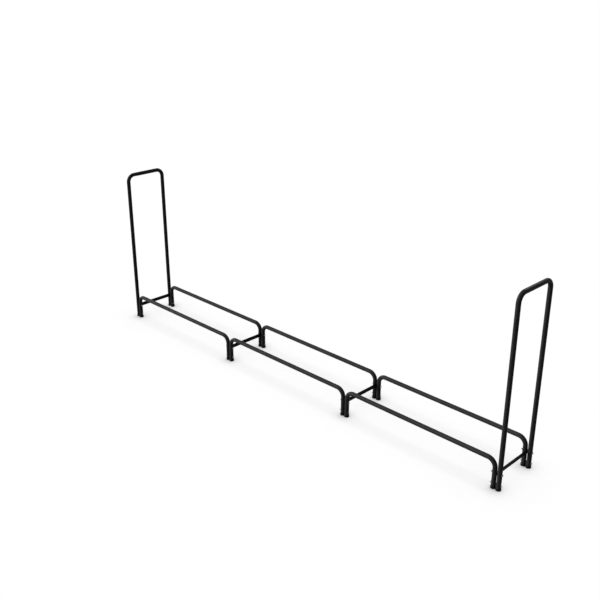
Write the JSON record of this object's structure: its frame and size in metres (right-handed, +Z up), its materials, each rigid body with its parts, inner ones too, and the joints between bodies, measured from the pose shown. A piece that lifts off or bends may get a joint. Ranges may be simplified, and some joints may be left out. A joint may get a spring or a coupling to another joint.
{
  "type": "firewood log rack",
  "caption": "Long low outdoor firewood rack of bent black steel tube: tall inverted-U end frames, low twin log rails, flat cross bars, bolted leg pairs, plastic foot caps.",
  "frame": {"origin": "on the ground, at the centre of the rack's footprint", "axes": "+X along the rack's length to its right end, +Y to its rear, +Z up"},
  "size_m": [3.6572, 0.3678, 1.253],
  "materials": {
    "powder_coat": "satin black powder coat",
    "black_plastic": "moulded black plastic, finely grained",
    "zinc_steel": "dull dark zinc plating"
  },
  "bodies": {
    "root": {"end_frame_left": "powder_coat", "end_frame_right": "powder_coat", "front_rail_left": "powder_coat", "front_rail_middle": "powder_coat", "front_rail_right": "powder_coat", "rear_rail_left": "powder_coat", "rear_rail_middle": "powder_coat", "rear_rail_right": "powder_coat", "cross_bar_1": "powder_coat", "cross_bar_2": "powder_coat", "cross_bar_3": "powder_coat", "cross_bar_4": "powder_coat", "front_foot_cap_1": "black_plastic", "front_foot_cap_2": "black_plastic", "front_foot_cap_3": "black_plastic", "front_foot_cap_4": "black_plastic", "front_foot_cap_5": "black_plastic", "front_foot_cap_6": "black_plastic", "front_foot_cap_7": "black_plastic", "front_foot_cap_8": "black_plastic", "rear_foot_cap_1": "black_plastic", "rear_foot_cap_2": "black_plastic", "rear_foot_cap_3": "black_plastic", "rear_foot_cap_4": "black_plastic", "rear_foot_cap_5": "black_plastic", "rear_foot_cap_6": "black_plastic", "rear_foot_cap_7": "black_plastic", "rear_foot_cap_8": "black_plastic", "hex_bolts": "zinc_steel", "hex_nuts": "zinc_steel", "head_washers": "zinc_steel", "nut_washers": "zinc_steel", "leg_spacers": "black_plastic", "bar_spacers": "black_plastic"}
  },
  "joints": []
}
